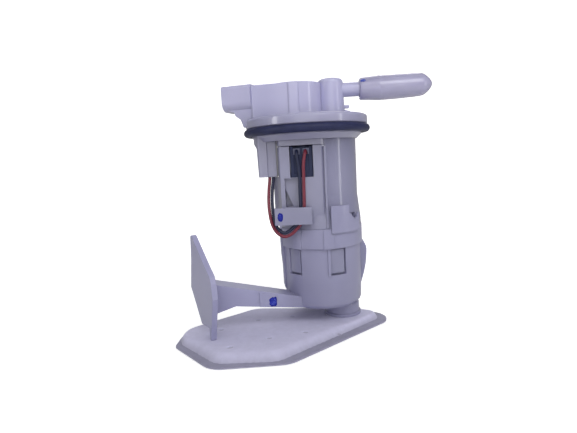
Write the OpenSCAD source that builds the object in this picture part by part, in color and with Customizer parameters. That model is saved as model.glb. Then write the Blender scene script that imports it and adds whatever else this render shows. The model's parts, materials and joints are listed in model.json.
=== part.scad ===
// In-tank fuel pump module: flange with socket and outlet, two-part pump holder,
// electric pump, pressure regulator, wiring and a flat strainer on an arm with a fin.
// The pump axis is Z, the strainer's underside is z = 0, the outlet points to +X.

/* [Pump] */
// Outside diameter of the pump's steel can
can_d = 32; // [30:0.5:32.5]
// Wall of the pump's steel can
can_wall = 1; // [0.8:0.1:1.2]
// Height of the pump's steel can
can_h = 55; // [53:0.5:57]
// Radius of the armature
armature_r = 11.6; // [11:0.1:12]
// Diameter of the armature shaft
shaft_d = 3; // [2.5:0.1:3.5]
// Thickness of the impeller
impeller_t = 3; // [2.5:0.1:3.4]
// Blades round the impeller
impeller_blades = 24; // [16:1:30]
// Offset of the inlet nozzle from the pump axis
inlet_x = 9.6; // [9:0.1:9.8]
// Outside diameter of the inlet nozzle
inlet_d = 9; // [8:0.1:9.6]
// Offset of the outlet nozzle from the pump axis
outlet_x = 7.7; // [7.4:0.1:8.2]
// Outside diameter of the outlet nozzle
outlet_d = 7.8; // [7:0.1:8.2]

/* [Lower holder] */
// Wall of the cup round the pump
cup_wall = 1.8; // [1.5:0.1:2.2]
// Thickness of the cup's floor
cup_floor = 2; // [1.6:0.1:2.4]
// Height of the cup's underside over the strainer's underside
cup_z = 11.5; // [11:0.1:12]
// Height of the collar's lower edge
collar_z = 42; // [41:0.1:43]
// Height of the collar
collar_h = 9.5; // [8:0.1:10]
// How far the collar stands proud of the cup
collar_proud = 1; // [0.8:0.1:1.2]
// Lower edge of the snap windows
window_z = 28.7; // [27.5:0.1:30]
// Direction of the arm, turned from -X towards the front
arm_turn = 14; // [12:0.5:16]
// Width of the arm
arm_w = 10.5; // [9:0.1:11]
// Thickness of the fin
fin_t = 2.6; // [2:0.1:3]
// Turn of the fin's plane from straight back
fin_turn = 32; // [30:0.5:34]

/* [Upper holder] */
// Wall of the skirt that slides into the cup
skirt_wall = 1.5; // [1.2:0.1:1.7]
// Outside diameter of the tube under the flange
tube_d = 38.3; // [37.8:0.1:38.8]
// Height of the tube's top
tube_z = 95.2; // [94.8:0.1:95.6]
// Wall of the tube above the pump
tube_wall = 1.7; // [1.4:0.1:2]

/* [Flange] */
// Shift of the flange's centre from the pump axis
flange_x = -5.1; // [-5.5:0.1:-4.7]
// Outside diameter of the flange's rim
rim_d = 60.6; // [60:0.1:61.4]
// Thickness of the flange's rim
rim_t = 4.6; // [4:0.1:5]
// Height of the rim's underside
rim_z = 100.8; // [100:0.1:102]
// Outside diameter of the spigot
spigot_d = 55; // [54.4:0.1:55.4]
// Depth of the spigot under the rim
spigot_h = 6.8; // [6.4:0.1:7.2]
// Wall of the spigot
spigot_wall = 3; // [2.6:0.1:3.4]
// Thickness of the sealing ring
ring_t = 3.9; // [3.6:0.1:4.2]
// Height of the regulator boss over the rim
boss_h = 16.1; // [15:0.1:17]
// Outside diameter of the regulator boss
boss_d = 27.6; // [26:0.1:28.4]
// Centre of the regulator boss
boss_x = -10.4; // [-10.8:0.1:-10]
// Outside diameter of the outlet tower at its foot
tower_d = 13.6; // [13:0.1:14]
// Height of the outlet tower over the rim
tower_h = 18.2; // [17.4:0.1:19]
// Outside diameter of the outlet pipe
pipe_d = 7; // [6.6:0.1:7.4]
// Bore of the outlet pipe
pipe_bore = 3.6; // [3:0.1:4.2]
// Length of the outlet pipe beyond the tower
pipe_l = 27; // [24:0.5:30]
// Height of the outlet pipe's axis over the rim
pipe_h = 12.6; // [12.2:0.1:13.2]
// Length of the electrical socket beyond the boss
socket_l = 13.2; // [12.6:0.1:14]
// Width of the electrical socket
socket_w = 17; // [16:0.1:18]
// Height of the electrical socket
socket_h = 12.2; // [11.6:0.1:12.6]
// Wall of the electrical socket
socket_wall = 1.4; // [1.2:0.1:1.6]
// Turn of the electrical socket towards the back
socket_turn = 15; // [12:0.5:18]

/* [Regulator] */
// Outside diameter of the regulator's body
regulator_d = 15.8; // [15:0.1:16.4]
// Height of the regulator's body
regulator_h = 15; // [14:0.1:16]
// Travel of the regulator's valve
regulator_lift = 0.8; // [0.4:0.1:1]
// Travel of the outlet check valve
check_lift = 1.5; // [1:0.1:2]

/* [Cap] */
// Length of the protective cap
cap_l = 35.6; // [34:0.1:37]
// Outside diameter of the cap's collar
cap_collar_d = 12.2; // [12:0.1:12.6]
// Outside diameter of the cap's tube
cap_tube_d = 11.2; // [11:0.1:11.5]
// Wall of the cap's tube
cap_wall = 0.9; // [0.7:0.05:1]
// Bare pipe between the tower and the cap
cap_gap = 7.5; // [6.5:0.1:8.5]

/* [Connector and wires] */
// Width of the pump's connector
plug_w = 10.3; // [9.8:0.1:10.6]
// Depth of the pump's connector
plug_t = 10; // [9.8:0.1:10.4]
// Height of the pump's connector
plug_h = 14.3; // [13.4:0.1:14.4]
// Distance between the connector's two terminals
plug_pitch = 4.4; // [4.2:0.1:4.7]
// Diameter of a wire
wire_d = 1.56; // [1.4:0.02:1.6]
// Width of the finger that holds the wires
finger_w = 17.4; // [16.5:0.1:18]
// Height of the finger that holds the wires
finger_h = 8.1; // [7:0.1:8.6]
// Thickness of the finger that holds the wires
finger_t = 1.2; // [1:0.1:1.4]

/* [Strainer] */
// Height of the strainer's bag
bag_h = 4; // [3.6:0.1:4.2]
// Thickness of the strainer's fabric
fabric_t = 0.6; // [0.4:0.05:0.7]
// Width of the sealed rim at the bag's front
seal_w = 3.5; // [3:0.1:4]
// Outside diameter of the neck's foot
neck_d = 18.8; // [18:0.1:19.4]

/* [Hidden] */
$fn = 96;

white = [0.76, 0.75, 0.85];
natural = [0.68, 0.67, 0.78];
black = [0.09, 0.09, 0.13];
steel = [0.62, 0.63, 0.66];
brass = [0.76, 0.63, 0.36];
copper = [0.72, 0.42, 0.26];
fabric = [0.67, 0.66, 0.75];

// Clearances: between fixed pieces, round running pieces, and of the shaft in its bushes
fit = 0.3;
run = 0.5;
shaft_gap = 0.04;
eps = 0.01;

// Levels of the pump, from the bottom
can_r = can_d / 2;
can_in = can_r - can_wall;
cushion_t = 2.1;
base_z = cup_z + cup_floor + cushion_t;
lip_t = 1.4;
can_z = base_z + lip_t;
can_top = can_z + can_h;
base_top = can_z + 4;
impeller_z = base_top + 0.3;
plate_z = impeller_z + impeller_t + 0.3;
plate_top = plate_z + 4.4;
lid_top = can_top + 2;
cap_plug_z = can_top - 10.5;
commutator_z = cap_plug_z + 1.2;
commutator_h = 5;
commutator_r = 5.4;
core_z = plate_top + 7;
core_top = commutator_z - 4.6;
shaft_r = shaft_d / 2;
shaft_z = impeller_z - 1.2;
bush_r = 3.4;
brush_w = 3;
brush_z = commutator_z + commutator_h / 2;
brush_in = commutator_r + 0.05;
brush_out = brush_in + 4.4;
nozzle_top = lid_top + 14;
nozzle_r = outlet_d / 2;
seat_z = lid_top + 4;
valve_r = 2.4;

// Radii of the two holders, from the pump outwards
skirt_in = can_r + fit;
skirt_r = skirt_in + skirt_wall;
cup_in = skirt_r + fit;
cup_r = cup_in + cup_wall;
collar_r = cup_r + collar_proud;
collar_top = collar_z + collar_h;
window_top = collar_z - 0.5;
cup_round = 2.7;
foot_r = collar_r - fit;
tube_r = tube_d / 2;
tube_in = tube_r - tube_wall;

// Snap windows: start and end angle of each, seen from the pump axis, 0 is the front
WINDOWS = [[-55, -31.5], [10.8, 34.3], [132, 156], [-150, -125]];

// Front column of the upper holder, which holds the connector: plan points
COLUMN = [[4, -18.5], [1.5, -20.1], [-18.2, -19.6], [-20.4, -12], [-22.3, -9.5], [-22.3, -4],
    [-17, -1]];
COLUMN_TOP = [[4, -18.5], [1.5, -20.1], [-18.2, -19.6], [-19.3, -15], [-19.3, -4], [-17, -1]];
column_z = 55.5;
block_z = 77.2;
apron_z = 91.5;
column_top = apron_z - fit;

// Blades of the pump and of the socket
blade_w = 2.3;
blade_t = 0.7;

// Connector in the column's window
plug_x = -7.95;
plug_front = -18.9;
plug_z = 76.6;
crimp_w = 3.2;
crimp_h = 2.9;
crimp_r = wire_d / 2 + 0.25;
strap_z = plug_z + plug_h - 3.7;
barrel_z = plug_z + 7.8;
tongue_w = 1.2;
groove_y = plug_front + 1.5;
blade_y = plug_front + 8.9;

// Bead near the outlet pipe's end
bead_h = 0.5;

// Flange levels and places
rim_r = rim_d / 2;
rim_top = rim_z + rim_t;
spigot_r = spigot_d / 2;
spigot_z = rim_z - spigot_h;
ceiling_z = rim_z + 0.8;
ring_in = spigot_r + 0.12;
ring_z = rim_z - ring_t / 2 - 0.05;
boss_r = boss_d / 2;
boss_top = rim_top + boss_h;
tower_r = tower_d / 2;
tower_x = outlet_x;
tower_top = rim_top + tower_h;
pipe_z = rim_top + pipe_h;
pipe_r = pipe_d / 2;
pipe_x0 = tower_x + tower_r;
block_left = -31;
block_front = 11.4;
block_rise = -0.3;
seal_r = nozzle_r + 1.1;
seal_z = lid_top + 8.5;
seal_h = 6;
guide_r = seal_r + 1.6;
socket_z = boss_top + 0.6 - socket_h;
socket_y = -3.4;

// Regulator inside the boss
regulator_r = regulator_d / 2;
chamber_r = regulator_r + fit;
retainer_z = ceiling_z - 4;
retainer_t = 1;
regulator_z = retainer_z + retainer_t;
regulator_top = regulator_z + regulator_h;
regulator_neck_r = 3.6;
regulator_neck_h = 3.4;
chamber_top = regulator_top + regulator_neck_h + 0.4;

// Finger over the wires
finger_right = -4.1;
finger_front = -23.8;
finger_z = 54.7;
finger_web = 1.2;

// Strainer outline: centre and radius of each round corner of the bag, and of the sealed rim
BAG = [[21.8, -1.8, 5.5], [inlet_x, -1, 10.4], [-34, -1.5, 13.2], [-57.3, -22.6, 13.2],
    [-65.9, -29.5, 2.7], [-44.5, -44.3, 8], [-24.8, -42.3, 9.5]];
RIM = [[22.4, -2.2, seal_w + 6], [inlet_x, -0.5, seal_w + 9], [-34, -1, seal_w + 11],
    [-57.3, -22.6, seal_w + 10.3], [-67, -30.5, seal_w + 0.7], [-45, -45, seal_w + 7.2],
    [-21, -41.5, seal_w + 8.3]];
seal_t = 1;
seal_trim_x = -71.4;
neck_r = neck_d / 2;

// Arm and fin, in the arm's own frame: x out from the pump, y towards the front
arm_front = 12.9;
arm_x0 = 13.5;
arm_foot_z = cup_z + 0.55;
arm_bottom_rise = 0.135;
arm_head_z = cup_z + 5.95;
arm_top_rise = 0.248;
fin_foot = [-52.95, -35];
fin_gap = 0.3;
fin_foot_z = bag_h + fin_gap;
fin_top_z = 51.2;

// Routes of the two wires, from the flange's block to the connector
RED = [[-23.8, -12.2, 80.5], [-23.8, -12.2, 78.5], [-23.9, -13.1, 75.5], [-24.3, -15.4, 71],
    [-24.5, -17.7, 65.5], [-24.1, -19.6, 60], [-23.1, -20.8, 55], [-21.1, -21.3, 51.2],
    [-18, -21.3, 49.1], [-14.9, -21.3, 49.7], [-12.2, -21.3, 51.8], [-9.7, -21.3, 54.6],
    [-8.1, -21.3, 58.5], [-7.6, -21.2, 63], [-7.4, -21.1, 70], [-7.2, -21, 78],
    [-7, -21, 83], [-6.4, -21, 86.6], [-6.1, -20.4, 88.2], [-5.9, -19.2, 88.9],
    [-5.75, -17.95, 88.4], [-5.75, -17.4, 87.2], [-5.75, -17.4, 86.2], [-5.75, -17.4, 85]];
BLACK = [[-22.1, -12.2, 80.5], [-22.1, -12.2, 78.5], [-22.2, -13.2, 75.5], [-22.65, -15.4, 71],
    [-22.85, -17.6, 65.5], [-22.5, -19.5, 60], [-21.7, -20.9, 55.8], [-20.3, -21.3, 52.7],
    [-17.9, -21.3, 50.8], [-15.8, -21.3, 51.3], [-13.8, -21.3, 52.8], [-11.2, -21.3, 55.3],
    [-9.9, -21.3, 59], [-9.3, -21.2, 63], [-9.2, -21.1, 70], [-9.1, -21, 78],
    [-9.5, -21, 83], [-9.9, -21, 86.6], [-10, -20.4, 88.2], [-10.1, -19.2, 88.9],
    [-10.15, -17.95, 88.4], [-10.15, -17.4, 87.2], [-10.15, -17.4, 86.2], [-10.15, -17.4, 85]];

// Small helpers

// Ring segment between two angles; angle 0 is the front and 90 is the outlet's side
module sector(r1, r2, a1, a2, z1, z2) {
    rotate([0, 0, a1 - 90])
        rotate_extrude(angle = a2 - a1)
            translate([r1, z1]) square([r2 - r1, z2 - z1]);
}

module tube(r1, r2, z1, z2) {
    translate([0, 0, z1])
        difference() {
            cylinder(r = r2, h = z2 - z1);
            translate([0, 0, -1]) cylinder(r = r1, h = z2 - z1 + 2);
        }
}

module rod(r, z1, z2) {
    translate([0, 0, z1]) cylinder(r = r, h = z2 - z1);
}

module box(low, high) {
    translate(low) cube(high - low);
}

// Points of a section with round corners: w wide, h high, own radius above and below
function arc_points(cx, cy, r, a, b, n = 8) =
    [for (i = [0:n]) [cx + r * cos(a + (b - a) * i / n), cy + r * sin(a + (b - a) * i / n)]];
function round_section(w, h, rt, rb) = concat(
    arc_points(w / 2 - rb, rb, rb, -90, 0),
    arc_points(w / 2 - rt, h - rt, rt, 0, 90),
    arc_points(rt - w / 2, h - rt, rt, 90, 180),
    arc_points(rb - w / 2, rb, rb, 180, 270));

// Round sweep along a smooth curve through the given points
function unit(v) = v / norm(v);
function spline(a, b, c, d, t) =
    0.5 * (2 * b + (c - a) * t + (2 * a - 5 * b + 4 * c - d) * t * t
        + (3 * b - a - 3 * c + d) * t * t * t);
function curve(p, n) = [
    for (i = [0:len(p) - 2], k = [0:n - 1])
        spline(p[max(i - 1, 0)], p[i], p[i + 1], p[min(i + 2, len(p) - 1)], k / n),
    p[len(p) - 1]];
function tangents(q) = [
    for (i = [0:len(q) - 1]) unit(q[min(i + 1, len(q) - 1)] - q[max(i - 1, 0)])];
function carried(t, i, u) = unit(u - (u * t[i]) * t[i]);
function frames(t, i, u) =
    i == len(t) ? [] : let (v = carried(t, i, u)) concat([v], frames(t, i + 1, v));
module sweep(path, r, sides) {
    t = tangents(path);
    u = frames(t, 0, [1, 0.2, 0.1]);
    points = [for (i = [0:len(path) - 1], k = [0:sides - 1])
        path[i] + r * (cos(360 * k / sides) * u[i] + sin(360 * k / sides) * cross(t[i], u[i]))];
    last = (len(path) - 1) * sides;
    walls = [for (i = [0:len(path) - 2], k = [0:sides - 1], half = [0, 1])
        let (a = i * sides + k, b = i * sides + (k + 1) % sides)
            half == 0 ? [a, b, b + sides] : [a, b + sides, a + sides]];
    ends = [[for (k = [sides - 1:-1:0]) k], [for (k = [0:sides - 1]) last + k]];
    polyhedron(points, concat([for (w = walls) [w[2], w[1], w[0]]],
        [for (e = ends) [for (k = [len(e) - 1:-1:0]) e[k]]]));
}
module coil(r, wire, z1, z2, turns) {
    steps = turns * 12;
    path = [for (i = [0:steps])
        [r * cos(30 * i), r * sin(30 * i), z1 + wire + (z2 - z1 - 2 * wire) * i / steps]];
    sweep(path, wire, 6);
}

// Flange

module rim_profile(r, z1, z2, c) {
    polygon([[0, z1], [r - c, z1], [r, z1 + c], [r, z2 - c], [r - c, z2], [0, z2]]);
}

module flange_body() {
    rim_round = 1.4;
    rim_edge = 0.4;
    guide_wall = 0.9;
    translate([flange_x, 0, 0])
        rotate_extrude() {
            polygon(concat([[0, rim_z], [rim_r - rim_edge, rim_z], [rim_r, rim_z + rim_edge]],
                arc_points(rim_r - rim_round, rim_top - rim_round, rim_round, 0, 90, 5), [[0, rim_top]]));
            polygon([[spigot_r - spigot_wall, spigot_z], [spigot_r - spigot_wall + 0.4, spigot_z],
                [spigot_r, spigot_z + spigot_wall - 0.5], [spigot_r, rim_z + eps],
                [spigot_r - spigot_wall, rim_z + eps]]);
        }
    // Ring that takes the upper holder's top
    rotate_extrude()
        polygon([[tube_in + 0.4, spigot_z], [tube_r + fit + 0.2, spigot_z],
            [tube_r + fit + guide_wall, spigot_z + guide_wall], [tube_r + fit + guide_wall, rim_z + eps],
            [tube_in + 0.4, rim_z + eps]]);
}

module boss_and_tower() {
    rib_w = 4.6;
    rib_proud = 0.7;
    tower_round = 1.9;
    tower_draft = 0.5;
    web_t = 1.4;
    translate([boss_x, 0, 0]) {
        rod(boss_r, rim_top - eps, boss_top);
        translate([0, 0, rim_top - eps])
            linear_extrude(boss_h - 0.5)
                polygon([[-rib_w / 2 - 0.5, -boss_r + 0.5], [-rib_w / 2, -boss_r - rib_proud + 0.3],
                    [-rib_w / 2 + 0.5, -boss_r - rib_proud], [rib_w / 2 - 0.5, -boss_r - rib_proud],
                    [rib_w / 2, -boss_r - rib_proud + 0.3], [rib_w / 2 + 0.5, -boss_r + 0.5], [0, 0]]);
    }
    translate([0, 0, rim_top - eps])
        linear_extrude(boss_h + block_rise)
            polygon([[block_left, -block_front + 0.8], [block_left + 0.8, -block_front],
                [boss_x - 2.5, -boss_r + 0.2], [boss_x, 0], [boss_x - 2.5, boss_r - 0.2],
                [block_left + 0.8, block_front], [block_left, block_front - 0.8]]);
    translate([tower_x, 0, 0])
        rotate_extrude()
            polygon(concat([[0, rim_top - eps], [tower_r, rim_top - eps]],
                arc_points(tower_r - tower_draft - tower_round, tower_top - tower_round,
                    tower_round, 0, 90), [[0, tower_top]]));
    // Small web and lug at the tower's foot, under the pipe
    translate([tower_x, web_t / 2, 0])
        rotate([90, 0, 0])
            linear_extrude(web_t) {
                polygon([[0, rim_top - eps], [tower_r + 3.6, rim_top - eps], [tower_r + 3, rim_top + 1],
                    [tower_r + 2.4, rim_top + 2.2], [tower_r + 0.6, rim_top + 2.7],
                    [tower_r - 1, rim_top + 3.1]]);
                polygon([[0, rim_top + 3.5], [tower_r + 1.9, rim_top + 3.5], [tower_r + 2.3, rim_top + 3.9],
                    [tower_r + 2.3, rim_top + 4.7], [tower_r + 1.9, rim_top + 5.1], [0, rim_top + 5.1]]);
            }
}

module pipe() {
    translate([tower_x, 0, pipe_z])
        rotate([0, 90, 0])
            rotate_extrude()
                polygon([[0, 0], [pipe_r, 0], [pipe_r, tower_r + pipe_l - 8.5],
                    [pipe_r + bead_h, tower_r + pipe_l - 7.8], [pipe_r + bead_h, tower_r + pipe_l - 7],
                    [pipe_r, tower_r + pipe_l - 6.3], [pipe_r, tower_r + pipe_l - 1.5],
                    [pipe_r - 0.8, tower_r + pipe_l], [0, tower_r + pipe_l]]);
}

module socket_frame() {
    translate([block_left + 2, socket_y, socket_z])
        rotate([0, 0, 180 - socket_turn])
            rotate([90, 0, 90])
                children();
}

module socket() {
    socket_frame()
        linear_extrude(socket_l + 2)
            polygon(round_section(socket_w, socket_h, 1.6, 4.4));
    // Bracket that carries the socket on the rim
    bracket_w = 12;
    translate([block_left + 1, socket_y + bracket_w / 2, 0])
        rotate([0, 0, -socket_turn])
            rotate([90, 0, 0])
                linear_extrude(bracket_w)
                    polygon([[-socket_l + 2.5, socket_z + 0.6], [-socket_l + 6, socket_z - 0.6],
                        [-6.6, socket_z - 2.4], [-4, rim_top + 0.3], [-2.6, rim_z + 1], [4, rim_z + 1],
                        [4, socket_z + 1], [-8, socket_z + 1]]);
}

module socket_cavity() {
    socket_frame()
        translate([0, socket_wall, 4.5])
            linear_extrude(socket_l + 2)
                polygon(round_section(socket_w - 2 * socket_wall, socket_h - 2 * socket_wall, 0.8, 3.2));
}

// Block that leads the two wires down out of the flange
module wire_block() {
    intersection() {
        union() {
            for (side = [[-13.8, -20.1], [-14.5, -24.4]])
                translate([0, -4.5, 0])
                    rotate([90, 0, 0])
                        linear_extrude(-4.5 - side[0])
                            polygon([[-28.9, block_z], [side[1], block_z], [side[1], rim_z + eps],
                                [-31, rim_z + eps], [-31, spigot_z - 0.6], [-29.4, spigot_z - 3]]);
        }
        translate([flange_x, 0, 0]) rod(spigot_r, block_z - 1, rim_z + 1);
    }
}

// Apron over the column's top
module apron() {
    difference() {
        translate([0, 0, apron_z])
            linear_extrude(rim_z - apron_z + eps)
                polygon(COLUMN_TOP);
        rod(tube_r + fit, apron_z - 1, rim_z + 1);
    }
}

module flange() {
    color(white)
        difference() {
            union() {
                flange_body();
                boss_and_tower();
                pipe();
                socket();
                wire_block();
                apron();
                // Guide round the outlet seal, and wall of the regulator's chamber
                translate([tower_x, 0, 0]) rod(guide_r, seal_z - 1, rim_z + 1);
                translate([boss_x, 0, 0]) rod(chamber_r + 1.9, retainer_z - 1.2, rim_z + 1);
            }
            // Fuel way: seal bore, riser, cross bore to the regulator, pipe
            translate([tower_x, 0, 0]) {
                rod(seal_r + 0.05, seal_z - 2, seal_z + seal_h);
                rod(pipe_bore / 2, seal_z + seal_h - 1, pipe_z + 0.5);
            }
            translate([tower_x, 0, pipe_z])
                rotate([0, 90, 0]) cylinder(r = pipe_bore / 2, h = tower_r + pipe_l + 1);
            translate([boss_x, 0, chamber_top - 1.4])
                rotate([0, 90, 0]) cylinder(r = 1.2, h = tower_x - boss_x);
            // Regulator's chamber, stepped for its neck and grooved for its retainer
            translate([boss_x, 0, 0]) {
                rod(chamber_r, retainer_z - 2, regulator_top + fit);
                rod(chamber_r + 0.9, retainer_z - 0.05, retainer_z + retainer_t + 0.05);
                rod(regulator_neck_r + 1.3, regulator_top, chamber_top);
            }
            socket_cavity();
            // Seat of the upper holder's top
            tube(tube_in - 0.6, tube_r + fit, spigot_z - 2, tube_z);
            wire_slot();
            terminal_slots();
        }
}

// Slot in the block's underside that both wires go up into
module wire_slot() {
    slot_r = wire_d / 2 + 0.2;
    translate([0, 0, block_z - 1])
        linear_extrude(RED[0][2] - block_z + 1.05)
            hull()
                for (p = [RED[0], BLACK[0]])
                    translate([p[0], p[1]]) circle(r = slot_r, $fn = 32);
}

// Slots for the blades in the socket's floor
module terminal_slots() {
    socket_frame()
        for (side = [-1, 1])
            translate([side * 3 - blade_w / 2, socket_h / 2 - blade_t / 2, 1.5])
                cube([blade_w, blade_t, 5]);
}

module socket_terminals() {
    color(brass)
        socket_frame()
            for (side = [-1, 1])
                translate([side * 3 - blade_w / 2, socket_h / 2 - blade_t / 2, 1.5])
                    cube([blade_w, blade_t, socket_l - 5]);
}

module o_ring() {
    color(black)
        translate([flange_x, 0, ring_z])
            rotate_extrude($fn = 128)
                translate([ring_in + ring_t / 2, 0]) circle(d = ring_t, $fn = 32);
}

module outlet_seal() {
    color(black)
        translate([outlet_x, 0, 0])
            difference() {
                tube(nozzle_r + 0.05, seal_r, seal_z, seal_z + seal_h);
                for (z = [seal_z + 2, seal_z + 4]) tube(seal_r - 0.3, seal_r + 1, z - 0.3, z + 0.3);
            }
}

// Upper holder

module upper_holder() {
    ledge = 1.5;
    pad_gap = 0.7;
    color(white)
        difference() {
            union() {
                rotate_extrude()
                    polygon([[skirt_in, window_z - 1.7], [skirt_r, window_z - 1.7],
                        [skirt_r, collar_top], [foot_r, collar_top], [foot_r - 0.1, collar_top + 3.5],
                        [foot_r - 0.6, collar_top + 7.2], [tube_r, collar_top + 15.5],
                        [tube_r, tube_z], [tube_in, tube_z], [tube_in, lid_top + fit + ledge],
                        [can_r - 1.4, lid_top + fit + ledge], [can_r - 1.4, lid_top + fit],
                        [skirt_in, lid_top + fit]]);
                // Snap pads that stand in the cup's windows
                for (w = WINDOWS)
                    sector(skirt_r - 0.5, cup_r - 0.5, w[0] + pad_gap, w[1] - 3 * pad_gap,
                        window_z + 1, window_top - fit);
                // Front column and rib
                column();
                wire_finger();
                sector(tube_r - 1, foot_r + 0.35, 7.2, 10, collar_top + fit, column_top - 0.8);
            }
            connector_window();
            wire_pocket();
            // Way of the pump's two blades through the ledge
            box([plug_x - plug_w / 2 + 0.8, blade_y - 1.6, lid_top],
                [plug_x + plug_w / 2 - 0.8, blade_y + 3, plug_z + 1]);
            // Slot under the collar's notch
            sector(tube_in + 0.4, foot_r + 1, 41, 56, collar_top + 4.2, collar_top + 6.6);
            // Lead-ins at the back for the fuel that returns from the regulator
            for (a = [150, 210]) sector(tube_in - 1, foot_r + 1, a, a + 24, lid_top + 4, lid_top + 12);
        }
}

module column() {
    difference() {
        union() {
            translate([0, 0, column_z]) linear_extrude(block_z - fit - column_z) polygon(COLUMN);
            translate([0, 0, block_z - fit - eps])
                linear_extrude(column_top - block_z + fit + eps) polygon(COLUMN_TOP);
        }
        rod(skirt_in, column_z - 1, lid_top + fit);
        rod(can_r - 1.4, lid_top, lid_top + 3);
        rod(tube_in, lid_top + 1.8, column_top + 1);
    }
}

module connector_window() {
    box([plug_x - plug_w / 2 - fit, plug_front - 4, plug_z],
        [plug_x + plug_w / 2 + fit, plug_front + plug_t + fit, column_top + 1]);
}

// Pocket behind the wires, with a three-cornered hole through to the pump
module wire_pocket() {
    floor_y = -17.6;
    box([-16.2, floor_y - 6, 62.8], [-8.3, floor_y, plug_z - fit]);
    translate([0, floor_y + 3, 0])
        rotate([90, 0, 0])
            linear_extrude(6)
                polygon([[-16.2, 62.8], [-12.7, 62.8], [-16.2, 71.3]]);
}

// Lower holder: cup, collar, arm and fin in one moulding

module cup() {
    foot_draft = 0.5;
    drafted_z = cup_z + 13.5;
    difference() {
        union() {
            rotate_extrude()
                polygon(concat([[0, cup_z]],
                    arc_points(cup_r - foot_draft - cup_round, cup_z + cup_round, cup_round, -90, 0),
                    [[cup_r, drafted_z], [cup_r, collar_z], [collar_r, collar_z],
                        [collar_r, collar_top], [0, collar_top]]));
            for (a = [[-42.8, -28.1], [2.4, 16.4]])
                sector(cup_r - 0.6, collar_r + 0.4, a[0], a[1], collar_z - 0.2, collar_top);
            sector(cup_r - 1, cup_r + 0.5, 7, 10.8, window_z - 0.3, collar_z + 1);
            collar_tab();
            side_boss();
            side_strip();
        }
        rod(cup_in, cup_z + cup_floor, collar_top + 20);
        for (w = WINDOWS) sector(cup_in - 1, cup_r + 3, w[0], w[1], window_z, window_top);
        translate([inlet_x, 0, 0]) rod(inlet_d / 2 + 0.6, cup_z - 1, cup_z + cup_floor + 1);
        // Step under the cup's outlet side
        box([14, -cup_r, cup_z - 1], [cup_r + 4, cup_r, cup_z + 1.5]);
    }
}

// Strip up the cup's far side from the outlet, over the arm
module side_strip() {
    rotate([0, 0, -190])
        rotate_extrude(angle = 27)
            polygon([[cup_r - 1, cup_z + 7], [cup_r + 0.3, cup_z + 7.8], [cup_r + 0.8, cup_z + 9.8],
                [cup_r + 0.95, cup_z + 20], [cup_r + 1.4, cup_z + 25.5], [collar_r + 0.55, collar_z + 1],
                [collar_r + 0.6, collar_top - 0.4], [cup_r - 1, collar_top - 0.4]]);
}

// Tab that grips the upper holder's foot, with a half-round notch beside it
module collar_tab() {
    grip = collar_r + 0.3;
    difference() {
        sector(grip, grip + 0.9, 12.7, 58, collar_top - 2, collar_top + 11);
        sector(grip - 1, grip + 2, 38.3, 62, collar_top + 6.6, collar_top + 12);
        rotate([0, 0, 48.5])
            translate([0, -grip + 2, collar_top + 6.8])
                rotate([90, 0, 0]) cylinder(r = 2.6, h = 5, $fn = 48);
    }
    sector(collar_r - 1, grip + 0.4, 13.5, 57, collar_top - 2.6, collar_top - 0.5);
}

// Boss down the cup's outlet side
module side_boss() {
    boss_w = 12;
    translate([0, boss_w, 0])
        rotate([90, 0, 0])
            linear_extrude(boss_w)
                polygon([[12, cup_z + 3.4], [18.4, cup_z + 3.4], [19.9, cup_z + 8.5],
                    [21.4, cup_z + 13.5], [22.5, cup_z + 18.5], [23, cup_z + 23.5], [23.1, cup_z + 26],
                    [22.8, cup_z + 27.6], [21.6, cup_z + 30.2], [collar_r - 0.3, cup_z + 32],
                    [12, cup_z + 32]]);
}

function arm_low(x) = arm_foot_z + arm_bottom_rise * (x - arm_x0);
function arm_high(x) = arm_head_z + arm_top_rise * (x - arm_x0);

module arm() {
    reach = 68;
    gusset_x = 47;
    pad_x = 28;
    rotate([0, 0, 180 + arm_turn])
        difference() {
            union() {
                translate([0, arm_front, 0])
                    rotate([90, 0, 0])
                        linear_extrude(arm_w)
                            polygon([[arm_x0, arm_low(arm_x0)], [reach, arm_low(reach)],
                                [reach, arm_high(reach)], [arm_x0, arm_high(arm_x0)]]);
                translate([0, arm_front, 0])
                    rotate([90, 0, 0])
                        linear_extrude(2)
                            polygon([[gusset_x, arm_low(gusset_x)], [reach, arm_low(reach)],
                                [reach, arm_low(reach) - 9], [reach - 6, arm_low(reach) - 7]]);
                // Raised pad on the arm's front
                translate([0, arm_front + 0.35, 0])
                    rotate([90, 0, 0])
                        linear_extrude(1)
                            polygon([[pad_x, arm_low(pad_x)], [pad_x + 7.5, arm_low(pad_x + 7.5)],
                                [pad_x + 7.5, arm_high(pad_x + 7.5) - 0.8],
                                [pad_x, arm_high(pad_x) - 0.8]]);
            }
            // Hollow underside
            translate([0, arm_front - 1.8, 0])
                rotate([90, 0, 0])
                    linear_extrude(arm_w - 3.6)
                        polygon([[cup_r + 3, arm_low(cup_r + 3) - 3], [reach, arm_low(reach) - 3],
                            [reach, arm_high(reach) - 2], [cup_r + 3, arm_high(cup_r + 3) - 2]]);
        }
}

module fin_frame() {
    translate([fin_foot[0], fin_foot[1], 0])
        rotate([0, 0, 90 + fin_turn])
            rotate([90, 0, 0])
                children();
}

module fin() {
    fin_frame()
        linear_extrude(fin_t)
            polygon(concat([[0, fin_foot_z], [1.4, fin_foot_z], [1.6, fin_foot_z + 5.5],
                [12.8, fin_foot_z + 4.4], [26.6, 24], [22.6, 39]],
                arc_points(19.6, fin_top_z - 1.6, 1.6, 0, 125, 5),
                [[1, 38.2], [-3.8, 35.2], [-5.2, 32], [-6, 25], [-3, 15]]));
}

module lower_holder() {
    color(natural) {
        difference() {
            union() {
                cup();
                intersection() {
                    arm();
                    fin_frame()
                        translate([-60, -10, fin_t / 2]) cube([200, 90, 200]);
                }
                fin();
            }
            rod(cup_in, cup_z + cup_floor, collar_top);
        }
    }
}

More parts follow.
